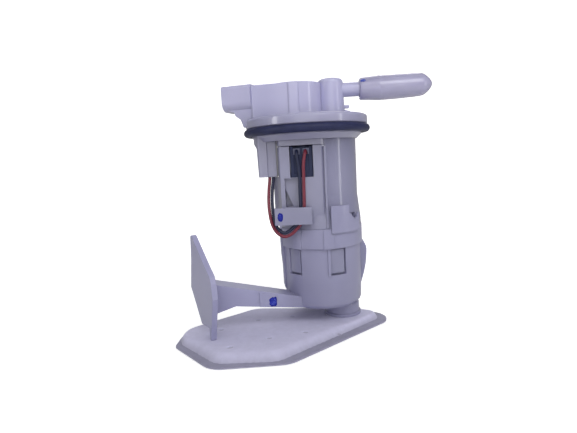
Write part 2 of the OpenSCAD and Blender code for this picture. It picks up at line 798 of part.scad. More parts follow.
// Finger that holds the wires, moulded on the column at its right end
module wire_finger() {
    box([finger_right - finger_w, finger_front, finger_z],
        [finger_right, finger_front + finger_t, finger_z + finger_h]);
    box([finger_right - finger_web, finger_front, finger_z], [finger_right, -18.5, finger_z + finger_h]);
    // Tooth under the free end
    translate([0, finger_front + finger_t, 0])
        rotate([90, 0, 0])
            linear_extrude(finger_t)
                polygon([[-20.2, finger_z + 1], [-18.2, finger_z + 1], [-18.6, finger_z - 1.6]]);
}

module pump_connector() {
    channel_w = 2.6;
    channel_t = 0.35;
    play = 0.05;
    color(black)
        difference() {
            box([plug_x - plug_w / 2, plug_front, plug_z],
                [plug_x + plug_w / 2, plug_front + plug_t, plug_z + plug_h]);
            for (side = [-1, 1])
                translate([plug_x + side * plug_pitch / 2, 0, 0]) {
                    // Pocket for the strap, shallow channel under it, bore for the barrel and its tongue
                    box([-crimp_w / 2 - play, plug_front - 1, strap_z],
                        [crimp_w / 2 + play, groove_y + 1.2, plug_z + plug_h + 1]);
                    box([-channel_w / 2, plug_front - 1, plug_z + 1.8],
                        [channel_w / 2, plug_front + channel_t, strap_z - 0.3]);
                    translate([0, groove_y, barrel_z])
                        cylinder(r = crimp_r + play, h = plug_h, $fn = 32);
                    box([-tongue_w / 2 - play, groove_y, barrel_z],
                        [tongue_w / 2 + play, groove_y + 1.1 + play, strap_z + 1]);
                    box([-blade_w / 2 - 0.1, blade_y - blade_t / 2 - 0.1, plug_z - 1],
                        [blade_w / 2 + 0.1, blade_y + blade_t / 2 + 0.1, plug_z + 6]);
                }
        }
}

// Crimped ends: a barrel on the wire's end, a tongue behind it, and a U-shaped strap above
module crimp_terminals() {
    strap_t = 0.3;
    strap_back = 1.1;
    color([0.72, 0.72, 0.76])
        for (side = [-1, 1])
            translate([plug_x + side * plug_pitch / 2, groove_y, 0]) {
                tube(wire_d / 2 + 0.02, crimp_r, barrel_z, barrel_z + 1.8);
                box([-tongue_w / 2, crimp_r - 0.12, barrel_z], [tongue_w / 2, strap_back, strap_z + 0.5]);
                difference() {
                    box([-crimp_w / 2, -0.5, strap_z], [crimp_w / 2, strap_back, strap_z + crimp_h]);
                    box([strap_t - crimp_w / 2, -1, strap_z - 1],
                        [crimp_w / 2 - strap_t, strap_back - strap_t, strap_z + crimp_h + 1]);
                }
            }
}

module red_wire() {
    color([0.45, 0.16, 0.2]) sweep(curve(RED, 2), wire_d / 2, 8);
}

module black_wire() {
    color(black) sweep(curve(BLACK, 2), wire_d / 2, 8);
}

// Pump

module pump_can() {
    color(steel) tube(can_in, can_r, can_z, can_top);
}

module pump_base() {
    color(steel)
        difference() {
            union() {
                rod(can_r, base_z, can_z);
                rod(can_in - 0.05, can_z, base_top);
                translate([inlet_x, 0, 0]) rod(inlet_d / 2, bag_h + 1, base_z + 1);
            }
            translate([inlet_x, 0, 0]) rod(inlet_d / 2 - 1.2, bag_h, base_top + 1);
            rod(shaft_r + run, shaft_z - shaft_gap, base_top + 1);
        }
}

module pump_plate() {
    color(steel)
        difference() {
            rod(can_in - 0.05, base_top, plate_top);
            rod(can_in - 1.2, base_top - 1, plate_z);
            rod(bush_r, plate_z - 1, plate_top + 1);
            translate([-inlet_x, 0, 0]) rod(2.2, plate_z - 1, plate_top + 1);
        }
}

module impeller() {
    impeller_r = can_in - 1.7;
    color(black)
        difference() {
            rod(impeller_r, impeller_z, impeller_z + impeller_t);
            rod(shaft_r, impeller_z - 1, impeller_z + impeller_t + 1);
            for (i = [0:impeller_blades - 1])
                rotate([0, 0, 360 * i / impeller_blades])
                    box([impeller_r - 2, -0.6, impeller_z - 1],
                        [impeller_r + 1, 0.6, impeller_z + impeller_t + 1]);
        }
}

module motor_magnets() {
    color([0.25, 0.25, 0.28])
        for (a = [15, 195])
            sector(armature_r + run, can_in - 0.05, a, a + 150, core_z - 2, core_top + 2);
}

module armature_core() {
    slots = 8;
    color(steel)
        difference() {
            rod(armature_r, core_z, core_top);
            rod(shaft_r, core_z - 1, core_top + 1);
            for (i = [0:slots - 1])
                rotate([0, 0, 360 * i / slots]) {
                    box([armature_r - 1.2, -0.8, core_z - 1], [armature_r + 1, 0.8, core_top + 1]);
                    translate([armature_r - 4, 0, core_z - 1])
                        cylinder(r = 2.2, h = core_top - core_z + 2, $fn = 24);
                }
        }
}

module armature_windings() {
    color(copper)
        for (z = [[core_z - 4, core_z], [core_top, core_top + 3]])
            translate([0, 0, z[0]])
                rotate_extrude()
                    polygon([[shaft_r + 1.5, 0.6], [shaft_r + 2.1, 0], [armature_r - 2.2, 0],
                        [armature_r - 1, 1.2], [armature_r - 1, z[1] - z[0]],
                        [shaft_r + 1.5, z[1] - z[0]]]);
}

module armature_shaft() {
    color(steel) rod(shaft_r, shaft_z, can_top - 0.6);
}

module commutator() {
    bars = 8;
    color(copper)
        difference() {
            tube(shaft_r, commutator_r, commutator_z, commutator_z + commutator_h);
            for (i = [0:bars - 1])
                rotate([0, 0, 360 * (i + 0.5) / bars])
                    box([commutator_r - 0.5, -0.2, commutator_z - 1],
                        [commutator_r + 1, 0.2, commutator_z + commutator_h + 1]);
        }
}

module shaft_bushes() {
    color(brass) {
        tube(shaft_r + shaft_gap, bush_r, plate_z, plate_top);
        tube(shaft_r + shaft_gap, bush_r, can_top - 4, can_top);
    }
}

module pump_end_cap() {
    color(natural)
        difference() {
            union() {
                rod(can_in - 0.05, cap_plug_z, can_top);
                rod(can_r, can_top, lid_top);
                translate([outlet_x, 0, 0]) rod(nozzle_r, lid_top - eps, nozzle_top);
            }
            rod(commutator_r + 1.6, cap_plug_z - 1, can_top - 4);
            rod(bush_r, can_top - 4 - eps, can_top);
            // Brush guides
            for (side = [-1, 1])
                box([-brush_w / 2 - 0.05, side > 0 ? 0 : -can_in + 1.2, brush_z - brush_w / 2 - 0.05],
                    [brush_w / 2 + 0.05, side > 0 ? can_in - 1.2 : 0, brush_z + brush_w / 2 + 0.05]);
            // Fuel way and check valve's chamber
            translate([outlet_x, 0, 0]) {
                rod(1.5, cap_plug_z - 1, seat_z + 1);
                rod(valve_r + 0.4, seat_z, nozzle_top + 1);
            }
            for (side = [-1, 1])
                translate([plug_x + side * plug_pitch / 2, blade_y, 0])
                    box([-blade_w / 2, -blade_t / 2, can_top + 0.5],
                        [blade_w / 2, blade_t / 2, lid_top + 1]);
        }
}

module pump_blades() {
    color(brass)
        for (side = [-1, 1])
            translate([plug_x + side * plug_pitch / 2, blade_y, 0])
                box([-blade_w / 2, -blade_t / 2, can_top + 0.5], [blade_w / 2, blade_t / 2, plug_z + 5]);
}

module brushes() {
    color([0.2, 0.2, 0.2])
        for (side = [0, 180])
            rotate([0, 0, side])
                box([-brush_w / 2, brush_in, brush_z - brush_w / 2],
                    [brush_w / 2, brush_out, brush_z + brush_w / 2]);
}

module brush_springs() {
    color(steel)
        for (side = [0, 180])
            rotate([0, 0, side])
                translate([0, 0, brush_z])
                    rotate([-90, 0, 0])
                        coil(1, 0.18, brush_out, can_in - 1.2, 4);
}

module check_valve() {
    color(black)
        translate([outlet_x, 0, 0])
            rotate_extrude()
                polygon([[0, seat_z - 0.6], [1, seat_z - 0.6], [1.3, seat_z], [valve_r, seat_z],
                    [valve_r, seat_z + 1.4], [1.1, seat_z + 1.4], [1.1, seat_z + 4], [0, seat_z + 4]]);
}

module check_spring() {
    color(steel)
        translate([outlet_x, 0, 0]) coil(1.75, 0.2, seat_z + 1.4, nozzle_top - 1.4, 5);
}

module valve_stop() {
    color(natural)
        translate([outlet_x, 0, 0]) tube(1.4, valve_r + 0.4, nozzle_top - 1.4, nozzle_top);
}

module pump_cushion() {
    color(black)
        difference() {
            rod(cup_in - fit, cup_z + cup_floor, window_z - 2);
            rod(can_r + 0.1, base_z, window_z);
            translate([inlet_x, 0, 0]) rod(inlet_d / 2 + fit, cup_z, base_z + 1);
        }
}

// Strainer

module round_corners(corners, grow = 0) {
    hull()
        for (c = corners)
            translate([c[0], c[1]]) circle(r = c[2] + grow, $fn = 48);
}

module bag_outline(grow) {
    round_corners(BAG, grow);
}

module seal_outline() {
    intersection() {
        round_corners(RIM);
        translate([seal_trim_x, -100]) square(200);
    }
}

module strainer_bottom() {
    color(fabric) linear_extrude(seal_t / 2) seal_outline();
}

module strainer_top() {
    shoulder = 2.6;
    color(fabric)
        difference() {
            union() {
                translate([0, 0, seal_t / 2]) linear_extrude(seal_t / 2) seal_outline();
                hull() {
                    translate([0, 0, seal_t - eps]) linear_extrude(eps) bag_outline(0);
                    translate([0, 0, bag_h - eps]) linear_extrude(eps) bag_outline(-shoulder + 1);
                }
            }
            hull() {
                translate([0, 0, seal_t / 2 - 0.1]) linear_extrude(eps) bag_outline(-shoulder + 1);
                translate([0, 0, bag_h - fabric_t - eps]) linear_extrude(eps) bag_outline(-shoulder - 0.6);
            }
            translate([inlet_x, 0, 0]) rod(inlet_d / 2 + fit, 1, bag_h + 1);
        }
}

// Ladder that keeps the two sheets apart
module strainer_frame() {
    inset = -4.4;
    bar = 1.6;
    pitch = 12;
    color(white)
        translate([0, 0, seal_t / 2])
            linear_extrude(bag_h - fabric_t - seal_t / 2)
                difference() {
                    intersection() {
                        bag_outline(inset);
                        union() {
                            difference() {
                                bag_outline(inset);
                                bag_outline(inset - bar);
                            }
                            for (x = [-48:pitch:10]) translate([x, -60]) square([bar, 80]);
                            for (y = [-36:pitch:8]) translate([-70, y]) square([100, bar]);
                            translate([inlet_x, 0]) circle(r = inlet_d / 2 + 1 + bar);
                        }
                    }
                    translate([inlet_x, 0]) circle(r = inlet_d / 2 + 1);
                }
}

module strainer_neck() {
    waist_r = neck_r - 0.8;
    top = cup_z - fit;
    color(natural)
        translate([inlet_x, 0, 0])
            difference() {
                rotate_extrude()
                    polygon([[0, bag_h], [neck_r, bag_h], [neck_r, bag_h + 1.2],
                        [waist_r, bag_h + 1.6], [waist_r, top - 1.5], [waist_r - 0.6, top], [0, top]]);
                rod(inlet_d / 2 + 0.06, bag_h - 1, top + 1);
            }
}

// Regulator

module regulator_body() {
    lid = 2;
    color(steel)
        translate([boss_x, 0, 0])
            difference() {
                union() {
                    rotate_extrude()
                        rim_profile(regulator_r, regulator_z, regulator_top, 0.6);
                    rod(regulator_neck_r, regulator_top - 1, regulator_top + regulator_neck_h);
                }
                rod(regulator_r - 2, regulator_z + lid, regulator_top - lid);
                rod(1.6, regulator_top - lid - 1, regulator_top + regulator_neck_h + 1);
                rod(1.6, regulator_z - 1, regulator_z + lid + 1);
            }
}

module regulator_seal() {
    seal_t = 1.1;
    color(black)
        translate([boss_x, 0, regulator_top + seal_t / 2 + 0.05])
            rotate_extrude()
                translate([regulator_neck_r + seal_t / 2 + 0.1, 0]) circle(d = seal_t, $fn = 24);
}

module regulator_retainer() {
    color(steel)
        translate([boss_x, 0, 0])
            tube(4, chamber_r + 0.6, retainer_z, retainer_z + retainer_t);
}

valve_plate_z = regulator_top - 2 - 1.6;
module regulator_valve() {
    color(brass)
        translate([boss_x, 0, 0])
            rotate_extrude()
                polygon([[0, valve_plate_z - 1.4], [1.4, valve_plate_z - 1.4], [1.4, valve_plate_z],
                    [3.4, valve_plate_z], [3.4, valve_plate_z + 1], [2.2, valve_plate_z + 1.6],
                    [0, valve_plate_z + 1.6]]);
}

module regulator_spring() {
    color(steel)
        translate([boss_x, 0, 0]) coil(2.5, 0.35, regulator_z + 2, valve_plate_z, 4);
}

// Protective cap on the outlet pipe
module outlet_cap() {
    mouth = pipe_x0 + cap_gap;
    tip_h = 5;
    flare = 8.5;
    collar_end = 10.5;
    tube_end = cap_l - tip_h;
    bore_r = pipe_r + bead_h + fit;
    cr = cap_collar_d / 2;
    tr = cap_tube_d / 2;
    color([0.62, 0.61, 0.72])
        translate([mouth, 0, pipe_z])
            rotate([0, 90, 0])
                rotate_extrude()
                    polygon([[bore_r, 0], [cr - 1.2, 0], [cr - 0.5, 1.2], [cr, flare],
                        [cr, collar_end], [tr, collar_end + 3], [tr - 0.2, tube_end - 1],
                        [tr - 0.6, tube_end + 0.5], [tr - 1.4, tube_end + 1.7],
                        [tr - 2.6, tube_end + 3.1], [1.4, cap_l - 0.3], [0, cap_l],
                        [0, cap_l - cap_wall - 0.6],
                        [tr - 3.6, tube_end + 1.6], [bore_r, tube_end - 1]]);
}

flange();
o_ring();
socket_terminals();
outlet_seal();
upper_holder();
lower_holder();
pump_connector();
crimp_terminals();
red_wire();
black_wire();
pump_can();
pump_base();
pump_plate();
pump_end_cap();
pump_blades();
motor_magnets();
shaft_bushes();
brushes();
brush_springs();
armature_core();
armature_windings();
armature_shaft();
commutator();
impeller();
check_valve();
check_spring();
valve_stop();
pump_cushion();
strainer_neck();
strainer_top();
strainer_bottom();
strainer_frame();
regulator_body();
regulator_seal();
regulator_retainer();
regulator_valve();
regulator_spring();
outlet_cap();
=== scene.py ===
"""Looks of the in-tank fuel pump module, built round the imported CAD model.

In order: materials, wires, valve springs, strainer, cap, paint marks, camera, floor, lamps, world.
Routes, outlines and profiles are written in millimetres and become metres where they enter a mesh.
"""
import json
import math

import bmesh
import bpy
from mathutils import Matrix, Vector, noise


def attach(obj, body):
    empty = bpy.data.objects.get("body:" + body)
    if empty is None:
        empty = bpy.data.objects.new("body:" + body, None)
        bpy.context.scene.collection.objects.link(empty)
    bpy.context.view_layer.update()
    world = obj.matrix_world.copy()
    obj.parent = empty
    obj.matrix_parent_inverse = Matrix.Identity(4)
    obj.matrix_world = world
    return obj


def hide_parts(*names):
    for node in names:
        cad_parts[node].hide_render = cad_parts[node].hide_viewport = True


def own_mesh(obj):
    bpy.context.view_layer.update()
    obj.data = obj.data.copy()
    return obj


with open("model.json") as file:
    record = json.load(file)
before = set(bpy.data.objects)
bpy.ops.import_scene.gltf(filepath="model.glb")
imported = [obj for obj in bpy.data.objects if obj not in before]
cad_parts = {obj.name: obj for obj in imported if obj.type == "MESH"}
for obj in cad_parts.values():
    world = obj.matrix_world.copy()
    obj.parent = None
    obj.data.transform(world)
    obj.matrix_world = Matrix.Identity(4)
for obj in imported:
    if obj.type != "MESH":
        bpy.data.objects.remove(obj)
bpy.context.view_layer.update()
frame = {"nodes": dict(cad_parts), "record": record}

MM = 0.001


# Shader nodes

def srgb(r, g, b):
    """Linear colour from 0..255 display values."""
    def one(v):
        v /= 255
        return v / 12.92 if v <= 0.04045 else ((v + 0.055) / 1.055) ** 2.4
    return (one(r), one(g), one(b), 1.0)


def toned(colour, factor, lift=0.0):
    """The colour made darker or lighter, at most white."""
    return tuple(min(1, c * factor + lift) for c in colour[:3]) + (1.0,)


def principled(name):
    mat = bpy.data.materials.new(name)
    mat.use_nodes = True
    tree = mat.node_tree
    return mat, tree.nodes, tree.links, tree.nodes["Principled BSDF"]


def give(node, **values):
    """Set a node's inputs by name; an underscore stands for a space."""
    for name, value in values.items():
        node.inputs[name.replace("_", " ")].default_value = value


def object_coords(nodes):
    return nodes.new("ShaderNodeTexCoord").outputs["Object"]


def stretched(nodes, links, vec, scale, turn=(0, 0, 0)):
    mapping = nodes.new("ShaderNodeMapping")
    give(mapping, Scale=scale, Rotation=turn)
    links.new(vec, mapping.inputs["Vector"])
    return mapping.outputs["Vector"]


def noise_node(nodes, links, vec, scale, detail, rough=0.55):
    cloud = nodes.new("ShaderNodeTexNoise")
    give(cloud, Scale=scale, Detail=detail, Roughness=rough)
    links.new(vec, cloud.inputs["Vector"])
    return cloud.outputs["Fac"]


def ramp(nodes, links, fac, stops):
    """Colour that follows fac through the stops, (position, colour) each."""
    node = nodes.new("ShaderNodeValToRGB")
    elements = node.color_ramp.elements
    elements[0].position, elements[0].color = stops[0]
    elements[1].position, elements[1].color = stops[-1]
    for position, colour in stops[1:-1]:
        elements.new(position).color = colour
    links.new(fac, node.inputs["Fac"])
    return node.outputs["Color"]


def map_range(nodes, links, value, to_min, to_max, from_min=0.0, from_max=1.0, eased=False):
    """The value moved from one range to the other, and held at its ends."""
    node = nodes.new("ShaderNodeMapRange")
    if eased:
        node.interpolation_type = "SMOOTHSTEP"
    give(node, From_Min=from_min, From_Max=from_max, To_Min=to_min, To_Max=to_max)
    links.new(value, node.inputs["Value"])
    return node.outputs["Result"]


def math_node(nodes, links, kind, operation, first):
    """A Math or VectorMath node with its first input linked."""
    node = nodes.new(kind)
    node.operation = operation
    links.new(first, node.inputs[0])
    return node


def bump(nodes, links, height, strength, distance, normal=None):
    node = nodes.new("ShaderNodeBump")
    give(node, Strength=strength, Distance=distance)
    links.new(height, node.inputs["Height"])
    if normal is not None:
        links.new(normal, node.inputs["Normal"])
    return node.outputs["Normal"]


def soft_edges(nodes, radius):
    node = nodes.new("ShaderNodeBevel")
    node.samples = 4
    give(node, Radius=radius)
    return node.outputs["Normal"]


def scaled(nodes, links, colour, value, low, high, factor):
    """The colour, times factor where the value is low and unchanged where it is high."""
    fall = map_range(nodes, links, value, factor, 1.0, low, high, eased=True)
    mix = math_node(nodes, links, "ShaderNodeVectorMath", "SCALE", colour)
    links.new(fall, mix.inputs["Scale"])
    return mix.outputs[0]


def painted_shade_by_height(nodes, links, colour, vec, z_low, z_high, factor):
    """Painted shade: the colour, times factor at z_low and below, and unchanged from z_high up."""
    split = nodes.new("ShaderNodeSeparateXYZ")
    links.new(vec, split.inputs[0])
    return scaled(nodes, links, colour, split.outputs["Z"], z_low, z_high, factor)


def distance_from_axis(nodes, links, vec):
    """Distance from the pump's axis, which is Z."""
    flat = math_node(nodes, links, "ShaderNodeVectorMath", "MULTIPLY", vec)
    flat.inputs[1].default_value = (1, 1, 0)
    reach = math_node(nodes, links, "ShaderNodeVectorMath", "LENGTH", flat.outputs[0])
    return reach.outputs["Value"]


def vary_roughness(nodes, links, shader, cloud, rough, spread):
    """Roughness that follows the cloud, between rough plus either end of the spread."""
    less, more = spread
    level = map_range(nodes, links, cloud, rough + less, rough + more)
    links.new(level, shader.inputs["Roughness"])


# Materials

PLASTIC_SPREAD = (-0.05, 0.07)
PLASTIC_IOR = 1.49
PLASTIC_DEPTH = 1.5 * MM
METAL_SPREAD = (-0.08, 0.1)
METAL_DARK = 0.82
MILK_RADIUS = (1.2, 1.2, 1.4)
BRUSHED_ACROSS = (1, 1, 60)
FIBRES_ACROSS = (1.0, 3.0, 1.0)
FIBRES_TURN = (0, 0, 0.7)


def plastic(name, low, high, rough, sub=0.0, edge=0.35 * MM, coat=0.0, fade=None, core=None,
            shine=0.5):
    """Moulded plastic: faint flow clouds in the colour, fine grain, softened edges.

    fade = (z_low, z_high, factor) darkens the colour towards z_low, as painted shade.
    core = (r_in, r_out, factor) darkens it near the pump's axis, as painted shade.
    """
    mat, nodes, links, shader = principled(name)
    vec = object_coords(nodes)
    clouds = noise_node(nodes, links, vec, scale=45.0, detail=2.0)
    colour = ramp(nodes, links, clouds, [(0.3, low), (0.7, high)])
    if fade:
        colour = painted_shade_by_height(nodes, links, colour, vec, *fade)
    if core:
        colour = scaled(nodes, links, colour, distance_from_axis(nodes, links, vec), *core)
    links.new(colour, shader.inputs["Base Color"])
    grain = noise_node(nodes, links, vec, scale=900.0, detail=4.0)
    normal = soft_edges(nodes, edge)
    relief = bump(nodes, links, grain, strength=0.2, distance=0.03 * MM, normal=normal)
    links.new(relief, shader.inputs["Normal"])
    vary_roughness(nodes, links, shader, clouds, rough, PLASTIC_SPREAD)
    give(shader, IOR=PLASTIC_IOR, Specular_IOR_Level=shine)
    if coat:
        give(shader, Coat_Weight=coat, Coat_Roughness=0.07)
        links.new(normal, shader.inputs["Coat Normal"])
    if sub:
        give(shader, Subsurface_Weight=sub, Subsurface_Radius=MILK_RADIUS)
        give(shader, Subsurface_Scale=PLASTIC_DEPTH)
    return mat


def cap_plastic():
    """Milky cap: light passes into it, with a gloss skin."""
    mat, nodes, links, shader = principled("cap_plastic")
    clouds = noise_node(nodes, links, object_coords(nodes), scale=60.0, detail=2.0)
    milk = [(0.3, srgb(160, 157, 187)), (0.7, srgb(172, 169, 199))]
    links.new(ramp(nodes, links, clouds, milk), shader.inputs["Base Color"])
    links.new(soft_edges(nodes, 0.4 * MM), shader.inputs["Normal"])
    give(shader, Roughness=0.45, Coat_Weight=1.0, Coat_Roughness=0.06)
    give(shader, Subsurface_Weight=0.45, Subsurface_Radius=MILK_RADIUS, Subsurface_Scale=2 * MM)
    return mat


def paint(name, dark, mid, light):
    """Marker paint, thick and thin in streaks."""
    mat, nodes, links, shader = principled(name)
    streaks = noise_node(nodes, links, object_coords(nodes), scale=1100.0, detail=3.0, rough=0.6)
    colour = ramp(nodes, links, streaks, [(0.34, dark), (0.52, mid), (0.7, light)])
    links.new(colour, shader.inputs["Base Color"])
    relief = bump(nodes, links, streaks, strength=0.4, distance=0.05 * MM)
    links.new(relief, shader.inputs["Normal"])
    give(shader, Roughness=0.42, Specular_IOR_Level=0.25)
    return mat


def metal(name, colour, rough, brushed=0.0):
    """Metal with dull spots; brushed is the strength of fine lines round Z."""
    mat, nodes, links, shader = principled(name)
    vec = object_coords(nodes)
    spots = noise_node(nodes, links, vec, scale=300.0, detail=3.0)
    tones = [(0.25, toned(colour, METAL_DARK)), (0.75, colour)]
    links.new(ramp(nodes, links, spots, tones), shader.inputs["Base Color"])
    vary_roughness(nodes, links, shader, spots, rough, METAL_SPREAD)
    give(shader, Metallic=1.0)
    if brushed:
        along = stretched(nodes, links, vec, BRUSHED_ACROSS)
        lines = noise_node(nodes, links, along, scale=120.0, detail=2.0)
        relief = bump(nodes, links, lines, strength=brushed, distance=0.02 * MM)
        links.new(relief, shader.inputs["Normal"])
    return mat


def rubber(name, colour, rough):
    """Dark matt material, a little dusty: rubber, carbon, magnets."""
    mat, nodes, links, shader = principled(name)
    vec = object_coords(nodes)
    dust = noise_node(nodes, links, vec, scale=160.0, detail=4.0)
    tones = [(0.35, colour), (0.8, toned(colour, 1.5, lift=0.004))]
    links.new(ramp(nodes, links, dust, tones), shader.inputs["Base Color"])
    grain = noise_node(nodes, links, vec, scale=1400.0, detail=3.0)
    relief = bump(nodes, links, grain, strength=0.15, distance=0.03 * MM)
    links.new(relief, shader.inputs["Normal"])
    give(shader, Roughness=rough, Specular_IOR_Level=0.3)
    return mat


def felt(name, low, high):
    """Pressed non-woven fabric: fine fibres, a faint mottle, and painted shade low down at the seal.
    """
    mat, nodes, links, shader = principled(name)
    vec = object_coords(nodes)
    mottle = noise_node(nodes, links, vec, scale=220.0, detail=5.0, rough=0.7)
    colour = ramp(nodes, links, mottle, [(0.3, low), (0.72, high)])
    # Painted shade: the felt darker low down, at the seal and the foot of the crown
    shaded = painted_shade_by_height(nodes, links, colour, vec, z_low=0.9 * MM, z_high=3.9 * MM, factor=0.75)
    links.new(shaded, shader.inputs["Base Color"])
    along = stretched(nodes, links, vec, FIBRES_ACROSS, FIBRES_TURN)
    fibres = noise_node(nodes, links, along, scale=1100.0, detail=4.0, rough=0.75)
    relief = bump(nodes, links, fibres, strength=0.35, distance=0.08 * MM)
    links.new(relief, shader.inputs["Normal"])
    give(shader, Roughness=0.8, Sheen_Weight=0.25)
    return mat


# Painted shade: the white plastic darker from 114 mm down to 98 mm, towards the flange's rim
FLANGE_PAINTED_SHADE = (98 * MM, 114 * MM, 0.64)
# Painted shade: the natural plastic darker from 46 mm down to its foot
NATURAL_PAINTED_SHADE = (4 * MM, 46 * MM, 0.9)
# Painted shade: the natural plastic darker within 31 mm of the pump's axis, most within 21 mm
AXIS_PAINTED_SHADE = (21 * MM, 31 * MM, 0.8)
WIRE_EDGE = 0.05 * MM

WHITE = plastic("white_plastic", srgb(178, 177, 210), srgb(186, 184, 216), rough=0.36, sub=0.25,
                coat=0.7, fade=FLANGE_PAINTED_SHADE)
HOLDER = plastic("holder_plastic", srgb(134, 134, 162), srgb(142, 141, 169), rough=0.36, sub=0.25,
                 coat=0.7)
NATURAL = plastic("natural_plastic", srgb(159, 158, 192), srgb(166, 165, 198), rough=0.38, sub=0.2,
                  coat=0.3, fade=NATURAL_PAINTED_SHADE, core=AXIS_PAINTED_SHADE)
BLACK = plastic("black_plastic", srgb(42, 48, 78), srgb(52, 58, 90), rough=0.5, shine=0.25)
RUBBER = rubber("black_rubber", srgb(33, 37, 72), 0.5)
TIN = metal("tinned", srgb(120, 122, 146), 0.42)
BRASS = metal("terminal_brass", srgb(205, 196, 190), 0.28)
STEEL = metal("steel", srgb(186, 187, 200), 0.3, brushed=0.2)
ALLOY = metal("cast_alloy", srgb(170, 171, 182), 0.42)
COPPER = metal("copper", srgb(190, 120, 84), 0.35)
MAGNET = rubber("magnet", srgb(60, 60, 66), 0.7)
CARBON = rubber("carbon", srgb(44, 44, 46), 0.8)
RED = plastic("red_insulation", srgb(112, 34, 54), srgb(124, 42, 62), rough=0.34, edge=WIRE_EDGE)
BLACK_WIRE = plastic("black_insulation", srgb(31, 36, 62), srgb(39, 44, 72), rough=0.34,
                     edge=WIRE_EDGE, shine=0.35)
BLUE = paint("blue_paint", srgb(22, 32, 140), srgb(42, 54, 168), srgb(96, 106, 190))
BLUE_DARK = paint("blue_paint_edge", srgb(10, 18, 118), srgb(16, 26, 140), srgb(40, 52, 160))
BLUE_THIN = paint("blue_paint_thin", srgb(40, 54, 150), srgb(84, 96, 176), srgb(140, 146, 196))
CAP = cap_plastic()
FELT = felt("filter_fabric", srgb(192, 190, 218), srgb(204, 202, 230))
FELT_SEAL = felt("filter_fabric_sealed", srgb(154, 152, 179), srgb(168, 166, 195))
# The weld spots' felt: darker, as painted shade in their pits
FELT_PIT_SHADE = felt("filter_fabric_weld_pit_shade", srgb(164, 162, 188), srgb(178, 176, 202))

SLOTS = {
    "white_plastic": WHITE, "natural_plastic": NATURAL, "cap_plastic": CAP,
    "black_plastic": BLACK, "black_rubber": RUBBER, "red_insulation": RED,
    "terminal_brass": BRASS, "steel": STEEL, "cast_alloy": ALLOY, "copper": COPPER,
    "magnet": MAGNET, "carbon": CARBON, "filter_fabric": FELT,
}
# Nodes that the photo shows in another tone than the rest of their slot
OWN_LOOKS = {"upper_holder": HOLDER, "crimp_terminals": TIN}


def dress_solids():
    """Give every CAD node the material of its slot in the record, or its own look."""
    slot_of = {part["node"]: part["material_slot"] for part in frame["record"]["subparts"]}
    for name, obj in frame["nodes"].items():
        mat = OWN_LOOKS.get(name, SLOTS[slot_of[name]])
        if not obj.material_slots:
            obj.data.materials.append(mat)
        for material_slot in obj.material_slots:
            material_slot.material = mat


dress_solids()


# Building helpers

def mm(points):
    return [Vector(p) * MM for p in points]


def lay(bm, points):
    """New vertices of the mesh, from points in millimetres."""
    return [bm.verts.new(p * MM) for p in points]


def smooth(t):
    """0 to 1 with flat ends, and held past them."""
    t = min(max(t, 0), 1)
    return t * t * (3 - 2 * t)


def around(count):
    """The angles of count points round a circle."""
    return [2 * math.pi * k / count for k in range(count)]


def add(name, mesh, mat, body="module", smooth_faces=True):
    """A piece of the visual model that rides on a CAD body."""
    obj = bpy.data.objects.new(name, mesh)
    bpy.context.scene.collection.objects.link(obj)
    if not mesh.materials:
        mesh.materials.append(mat)
    if smooth_faces:
        for poly in mesh.polygons:
            poly.use_smooth = True
    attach(obj, body)
    return obj


def to_mesh(name, bm, *mats):
    """The finished mesh, its faces all turned outwards, with these materials."""
    bmesh.ops.recalc_face_normals(bm, faces=bm.faces)
    mesh = bpy.data.meshes.new(name)
    bm.to_mesh(mesh)
    bm.free()
    for mat in mats:
        mesh.materials.append(mat)
    return mesh


def catmull(points, n):
    """Smooth path through the points, the same curve as in the CAD source."""
    out = []
    for i in range(len(points) - 1):
        a = points[max(i - 1, 0)]
        b = points[i]
        c = points[i + 1]
        d = points[min(i + 2, len(points) - 1)]
        for k in range(n):
            t = k / n
            out.append(0.5 * (2 * b + (c - a) * t + (2 * a - 5 * b + 4 * c - d) * t * t
                              + (3 * b - a - 3 * c + d) * t ** 3))
    out.append(points[-1])
    return out


def tube_mesh(name, path, radius, sides):
    """Round tube along the path, with flat ends."""
    bm = bmesh.new()
    rings = []
    start = (path[1] - path[0]).normalized()
    u = start.orthogonal().normalized()
    for i, p in enumerate(path):
        t = (path[min(i + 1, len(path) - 1)] - path[max(i - 1, 0)]).normalized()
        u = (u - t * u.dot(t)).normalized()
        v = t.cross(u)
        rings.append([bm.verts.new(p + radius * (math.cos(a) * u + math.sin(a) * v))
                      for a in around(sides)])
    for a, b in zip(rings, rings[1:]):
        for k in range(sides):
            bm.faces.new((a[k], a[(k + 1) % sides], b[(k + 1) % sides], b[k]))
    bm.faces.new(list(reversed(rings[0])))
    bm.faces.new(rings[-1])
    return to_mesh(name, bm)


# Wires, along the same routes as in the CAD source

